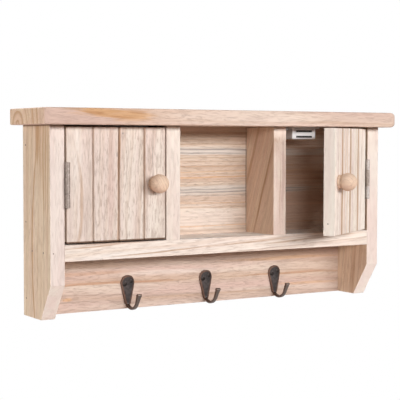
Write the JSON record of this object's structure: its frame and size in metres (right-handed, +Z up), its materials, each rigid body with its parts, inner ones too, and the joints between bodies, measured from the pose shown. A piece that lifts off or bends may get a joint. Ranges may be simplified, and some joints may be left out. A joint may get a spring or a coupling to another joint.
{
  "type": "wall key cabinet",
  "caption": "Raw wood wall cabinet for keys: overhanging top, small plank doors on hinges either side of an open cubby, and a rail below with teardrop hooks.",
  "frame": {"origin": "on the wall plane, midway between the two keyholes in the back", "axes": "+X to the right seen from the front, +Y into the wall, +Z up"},
  "size_m": [0.48, 0.1527, 0.2303],
  "materials": {
    "raw_boards": "raw pale paulownia, planed and sanded, no coating",
    "door_planks": "raw pale paulownia planks, upright grain, no coating",
    "turned_knob": "turned pale hardwood, smooth, no coating",
    "hinge_steel": "dull nickel-plated steel",
    "zinc_screws": "zinc-plated steel",
    "catch_plastic": "white moulded plastic",
    "catch_steel": "plain steel",
    "magnet_ferrite": "dark ceramic magnet",
    "aged_bronze": "dark aged-bronze plating on die-cast metal",
    "bronze_screws": "dark aged-bronze plated screws",
    "brad_nails": "plain steel brads, heads punched flush"
  },
  "bodies": {
    "cabinet": {"back_panel": "raw_boards", "catch_screws": "zinc_screws", "frame_hinge_screws": "zinc_screws", "hook_rail": "raw_boards", "hook_screws": "bronze_screws", "key_hook_1": "aged_bronze", "key_hook_2": "aged_bronze", "key_hook_3": "aged_bronze", "left_catch_housing": "catch_plastic", "left_catch_magnet": "magnet_ferrite", "left_catch_poles": "catch_steel", "left_divider": "raw_boards", "left_hinge_frame_leaf": "hinge_steel", "left_hinge_pin": "hinge_steel", "left_side": "raw_boards", "right_catch_housing": "catch_plastic", "right_catch_magnet": "magnet_ferrite", "right_catch_poles": "catch_steel", "right_divider": "raw_boards", "right_hinge_frame_leaf": "hinge_steel", "right_hinge_pin": "hinge_steel", "right_side": "raw_boards", "shelf_board": "raw_boards", "shelf_nails": "brad_nails", "side_nails": "brad_nails", "top_board": "raw_boards", "top_nails": "brad_nails"},
    "left_door": {"left_door_hinge_screws": "zinc_screws", "left_door_plank_1": "door_planks", "left_door_plank_2": "door_planks", "left_door_plank_3": "door_planks", "left_door_plank_4": "door_planks", "left_hinge_door_leaf": "hinge_steel", "left_knob": "turned_knob", "left_knob_screw": "zinc_screws", "left_strike_plate": "catch_steel", "left_strike_screw": "zinc_screws"},
    "right_door": {"right_door_hinge_screws": "zinc_screws", "right_door_plank_1": "door_planks", "right_door_plank_2": "door_planks", "right_door_plank_3": "door_planks", "right_door_plank_4": "door_planks", "right_hinge_door_leaf": "hinge_steel", "right_knob": "turned_knob", "right_knob_screw": "zinc_screws", "right_strike_plate": "catch_steel", "right_strike_screw": "zinc_screws"}
  },
  "joints": [
    {"name": "left_door_hinge", "type": "hinge", "parent": "cabinet", "child": "left_door", "pos_m": [-0.2057, -0.0749, -0.0247], "axis": [0, 0, -1], "range_deg": [0, 180]},
    {"name": "right_door_hinge", "type": "hinge", "parent": "cabinet", "child": "right_door", "pos_m": [0.2057, -0.0749, -0.0247], "axis": [0, 0, 1], "range_deg": [-34, 146]}
  ]
}
